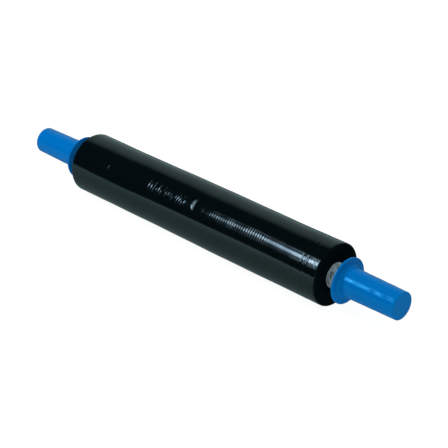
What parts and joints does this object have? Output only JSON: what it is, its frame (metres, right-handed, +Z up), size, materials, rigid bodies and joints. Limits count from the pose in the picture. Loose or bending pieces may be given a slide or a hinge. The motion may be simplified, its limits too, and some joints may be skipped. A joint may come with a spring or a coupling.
{
  "type": "stretch wrap roll",
  "caption": "Hand roll of black stretch film on a long cardboard core, with a blue flanged sleeve grip on each end of the core.",
  "frame": {"origin": "on the surface the roll lies on, straight under the middle of the core", "axes": "+X along the roll's axis towards the right grip, +Z up; the roll's axis is 46.2 mm above the origin"},
  "size_m": [0.7336, 0.093, 0.0927],
  "materials": {
    "stretch_film": "glossy black stretch film, wound tight",
    "core_board": "spiral-wound grey board",
    "grip_plastic": "semi-gloss moulded blue plastic"
  },
  "bodies": {
    "roll": {"film_roll": "stretch_film", "core_tube": "core_board"},
    "grip_right": {"grip_right": "grip_plastic"},
    "grip_left": {"grip_left": "grip_plastic"}
  },
  "joints": [
    {"name": "grip_right_spin", "type": "hinge", "parent": "roll", "child": "grip_right", "pos_m": [0.3189, 0, 0.04623], "axis": [1, 0, 0], "continuous": true},
    {"name": "grip_left_spin", "type": "hinge", "parent": "roll", "child": "grip_left", "pos_m": [-0.3189, 0, 0.04623], "axis": [1, 0, 0], "continuous": true}
  ]
}
